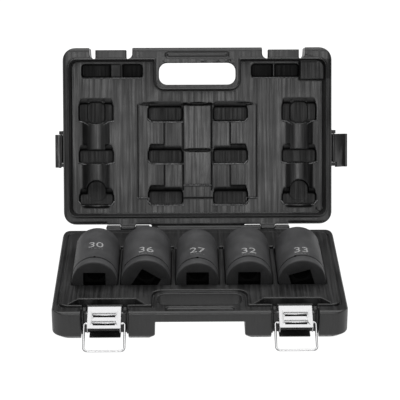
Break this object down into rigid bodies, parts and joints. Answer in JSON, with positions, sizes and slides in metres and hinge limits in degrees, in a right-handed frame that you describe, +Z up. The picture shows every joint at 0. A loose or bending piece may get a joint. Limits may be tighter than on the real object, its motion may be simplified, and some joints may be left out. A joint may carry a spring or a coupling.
{
  "type": "socket wrench set in case",
  "caption": "Deep impact sockets lying in a black moulded carrying case with its hinged lid open, draw latches at the front and snap clips on the lid's sides.",
  "frame": {"origin": "centre of the underside of the base, on the surface it rests on", "axes": "+X to the right along the case, -Y towards the handle side, +Z up"},
  "size_m": [0.3642, 0.3715, 0.2403],
  "materials": {
    "case_plastic": "satin",
    "clip_plastic": "satin",
    "plated_steel": "satin",
    "pin_steel": "satin",
    "socket_steel": "satin"
  },
  "bodies": {
    "base": {"base_shell": "case_plastic", "hinge_pin_left": "pin_steel", "hinge_pin_right": "pin_steel", "latch_pin_left": "pin_steel", "latch_pin_right": "pin_steel"},
    "lid": {"lid_shell": "case_plastic", "clip_pin_left": "pin_steel", "clip_pin_right": "pin_steel"},
    "lever_left": {"latch_lever_left": "plated_steel"},
    "bail_left": {"latch_bail_left": "plated_steel"},
    "clip_left": {"side_clip_left": "clip_plastic"},
    "lever_right": {"latch_lever_right": "plated_steel"},
    "bail_right": {"latch_bail_right": "plated_steel"},
    "clip_right": {"side_clip_right": "clip_plastic"},
    "body_30_mm": {"socket_30_mm": "socket_steel"},
    "body_36_mm": {"socket_36_mm": "socket_steel"},
    "body_27_mm": {"socket_27_mm": "socket_steel"},
    "body_32_mm": {"socket_32_mm": "socket_steel"},
    "body_33_mm": {"socket_33_mm": "socket_steel"}
  },
  "joints": [
    {"name": "lid_hinge", "type": "hinge", "parent": "base", "child": "lid", "pos_m": [0, 0.1125, 0.034], "axis": [-1, 0, 0], "range_deg": [-111, 0]},
    {"name": "lever_left_pivot", "type": "hinge", "parent": "base", "child": "lever_left", "pos_m": [-0.1058, -0.099, 0.0285], "axis": [-1, 0, 0], "range_deg": [-56, 0]},
    {"name": "bail_left_pivot", "type": "hinge", "parent": "lever_left", "child": "bail_left", "pos_m": [-0.1058, -0.10742, 0.02037], "axis": [1, 0, 0], "range_deg": [-171.2, 0]},
    {"name": "clip_left_pivot", "type": "hinge", "parent": "lid", "child": "clip_left", "pos_m": [-0.1682, 0.15836, 0.11719], "axis": [0, -0.3584, -0.9336], "range_deg": [-171, 7]},
    {"name": "lever_right_pivot", "type": "hinge", "parent": "base", "child": "lever_right", "pos_m": [0.1058, -0.099, 0.0285], "axis": [-1, 0, 0], "range_deg": [-56, 0]},
    {"name": "bail_right_pivot", "type": "hinge", "parent": "lever_right", "child": "bail_right", "pos_m": [0.1058, -0.10742, 0.02037], "axis": [1, 0, 0], "range_deg": [-171.2, 0]},
    {"name": "clip_right_pivot", "type": "hinge", "parent": "lid", "child": "clip_right", "pos_m": [0.1682, 0.15836, 0.11719], "axis": [0, 0.3584, 0.9336], "range_deg": [-143, 35]},
    {"name": "socket_30_mm_lift", "type": "slide", "parent": "base", "child": "body_30_mm", "axis": [0, 0, 1], "range_m": [0, 0.07]},
    {"name": "socket_36_mm_lift", "type": "slide", "parent": "base", "child": "body_36_mm", "axis": [0, 0, 1], "range_m": [0, 0.07]},
    {"name": "socket_27_mm_lift", "type": "slide", "parent": "base", "child": "body_27_mm", "axis": [0, 0, 1], "range_m": [0, 0.07]},
    {"name": "socket_32_mm_lift", "type": "slide", "parent": "base", "child": "body_32_mm", "axis": [0, 0, 1], "range_m": [0, 0.07]},
    {"name": "socket_33_mm_lift", "type": "slide", "parent": "base", "child": "body_33_mm", "axis": [0, 0, 1], "range_m": [0, 0.07]}
  ]
}
